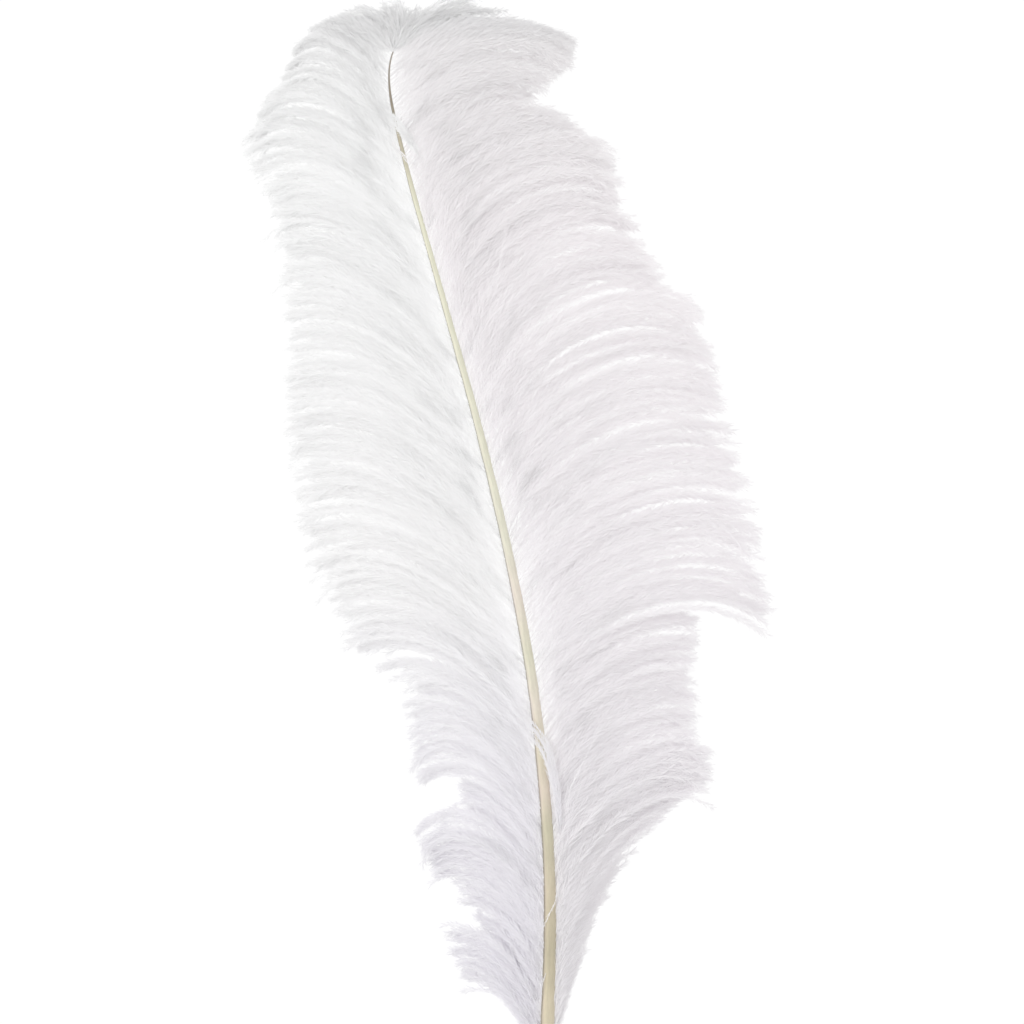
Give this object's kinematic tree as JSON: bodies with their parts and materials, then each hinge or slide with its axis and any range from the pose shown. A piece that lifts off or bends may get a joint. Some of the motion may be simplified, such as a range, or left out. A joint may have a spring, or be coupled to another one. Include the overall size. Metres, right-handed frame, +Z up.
{
  "type": "quill pen",
  "caption": "Quill pen made from a white ostrich plume: a cut nib and hollow barrel, a curved cream shaft and a wide, soft vane of loose barbs.",
  "frame": {"origin": "on the barrel's axis, level with the square end of the nib", "axes": "+Z up from the writing tip along the barrel to the plume, -Y out of the plume's smooth face, +X to the right seen from the front"},
  "size_m": [0.1826, 0.0456, 0.4314],
  "materials": {
    "horn": "satin",
    "pith": "matte",
    "pulp": "matte",
    "right_vane": "matte",
    "left_vane": "matte"
  },
  "bodies": {
    "root": {"barrel_and_nib": "horn", "pulp_cap_1": "pulp", "pulp_cap_2": "pulp", "pulp_cap_3": "pulp", "shaft_cortex": "horn", "shaft_pith": "pith", "right_lock_01": "right_vane", "right_lock_02": "right_vane", "right_lock_03": "right_vane", "right_lock_04": "right_vane", "right_lock_05": "right_vane", "right_lock_06": "right_vane", "right_lock_07": "right_vane", "right_lock_08": "right_vane", "right_lock_09": "right_vane", "right_lock_10": "right_vane", "right_lock_11": "right_vane", "right_lock_12": "right_vane", "right_lock_13": "right_vane", "left_lock_01": "left_vane", "left_lock_02": "left_vane", "left_lock_03": "left_vane", "left_lock_04": "left_vane", "left_lock_05": "left_vane", "left_lock_06": "left_vane", "left_lock_07": "left_vane", "left_lock_08": "left_vane", "left_lock_09": "left_vane", "left_lock_10": "left_vane", "left_lock_11": "left_vane", "left_lock_12": "left_vane", "left_lock_13": "left_vane", "left_lock_14": "left_vane", "left_lock_15": "left_vane", "tip_lock": "left_vane", "lower_crossing_wisp": "left_vane", "upper_crossing_wisp": "left_vane"}
  },
  "joints": []
}
